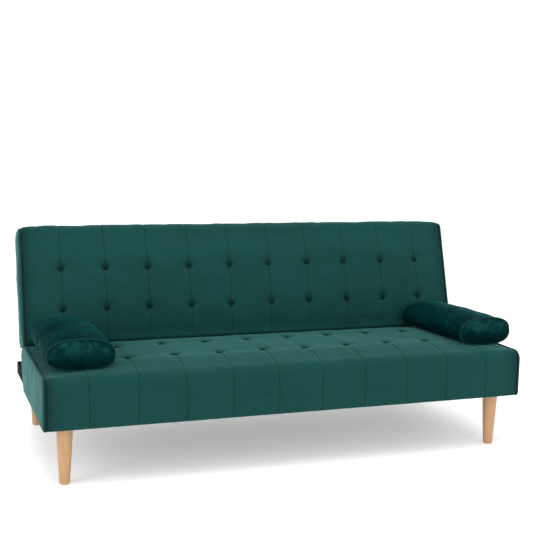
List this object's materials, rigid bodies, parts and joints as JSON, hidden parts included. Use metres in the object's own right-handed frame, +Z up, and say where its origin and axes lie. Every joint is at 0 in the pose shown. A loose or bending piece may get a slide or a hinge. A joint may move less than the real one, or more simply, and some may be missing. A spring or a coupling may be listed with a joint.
{
  "type": "futon sofa bed",
  "caption": "Click-clack sofa bed: tufted velvet seat and fold-down back on a low base with tapered round timber legs, and loose arm bolsters.",
  "frame": {"origin": "on the floor under the middle of the base, midway between the seat's front and the base's rear face", "axes": "+X to the right seen from the front, the seat's front faces -Y, +Z up"},
  "size_m": [1.8026, 0.85, 0.8091],
  "materials": {
    "velvet": "dark green short-pile velvet over foam, tufted with covered buttons and piped round the end panels",
    "bolster_velvet": "deeper green plush velvet with a stronger sheen, piped round both ends",
    "beech": "light beech, turned and satin lacquered",
    "timber": "plain planed softwood",
    "black_wrap": "timber rail wrapped in black non-woven cloth",
    "black_cloth": "black non-woven cloth",
    "zinc_steel": "zinc-plated pressed steel",
    "rubber": "black rubber"
  },
  "bodies": {
    "base": {"back_rest_left": "rubber", "back_rest_right": "rubber", "base_rail_cross": "timber", "base_rail_front": "timber", "base_rail_left": "black_wrap", "base_rail_rear": "black_wrap", "base_rail_right": "black_wrap", "base_rear_cover": "black_cloth", "corner_block_front_left": "timber", "corner_block_front_right": "timber", "corner_block_rear_left": "timber", "corner_block_rear_right": "timber", "dust_cover": "black_cloth", "hinge_pin_left": "zinc_steel", "hinge_pin_right": "zinc_steel", "hinge_plate_bolt_left_1": "zinc_steel", "hinge_plate_bolt_left_2": "zinc_steel", "hinge_plate_bolt_right_1": "zinc_steel", "hinge_plate_bolt_right_2": "zinc_steel", "hinge_plate_left": "zinc_steel", "hinge_plate_right": "zinc_steel", "leg_bolt_front_left": "zinc_steel", "leg_bolt_front_right": "zinc_steel", "leg_bolt_rear_left": "zinc_steel", "leg_bolt_rear_right": "zinc_steel", "leg_front_left": "beech", "leg_front_right": "beech", "leg_rear_left": "beech", "leg_rear_right": "beech", "pawl_pin_left": "zinc_steel", "pawl_pin_right": "zinc_steel", "seat_cushion": "velvet", "seat_front_border": "velvet", "seat_side_panel_left": "velvet", "seat_side_panel_right": "velvet", "seat_slat_1": "timber", "seat_slat_2": "timber", "seat_slat_3": "timber", "seat_slat_4": "timber"},
    "back": {"back_cushion": "velvet", "back_rail_bottom": "timber", "back_rail_left": "timber", "back_rail_right": "timber", "back_rail_top": "timber", "back_rear_panel": "velvet", "back_side_panel_left": "velvet", "back_side_panel_right": "velvet", "back_slat_1": "timber", "back_slat_2": "timber", "back_slat_3": "timber", "hinge_arm_bolt_left_1": "zinc_steel", "hinge_arm_bolt_left_2": "zinc_steel", "hinge_arm_bolt_right_1": "zinc_steel", "hinge_arm_bolt_right_2": "zinc_steel", "hinge_arm_left": "zinc_steel", "hinge_arm_right": "zinc_steel"},
    "pawl_left": {"pawl_left": "zinc_steel"},
    "pawl_right": {"pawl_right": "zinc_steel"},
    "bolster_left": {"bolster_left": "bolster_velvet"},
    "bolster_right": {"bolster_right": "bolster_velvet"}
  },
  "joints": [
    {"name": "back_fold", "type": "hinge", "parent": "base", "child": "back", "pos_m": [0, 0.139, 0.324], "axis": [-1, 0, 0], "range_deg": [0, 73.4]},
    {"name": "pawl_left_lift", "type": "hinge", "parent": "base", "child": "pawl_left", "pos_m": [0, 0.092, 0.302], "axis": [1, 0, 0], "range_deg": [0, 12], "stiffness_Nm_per_rad": 0.05, "springref_deg": -17.19},
    {"name": "pawl_right_lift", "type": "hinge", "parent": "base", "child": "pawl_right", "pos_m": [0, 0.092, 0.302], "axis": [1, 0, 0], "range_deg": [0, 12], "stiffness_Nm_per_rad": 0.05, "springref_deg": -17.19},
    {"name": "bolster_left_lift", "type": "slide", "parent": "base", "child": "bolster_left", "axis": [0, 0, 1], "range_m": [0, 0.45]},
    {"name": "bolster_right_lift", "type": "slide", "parent": "base", "child": "bolster_right", "axis": [0, 0, 1], "range_m": [0, 0.45]}
  ]
}
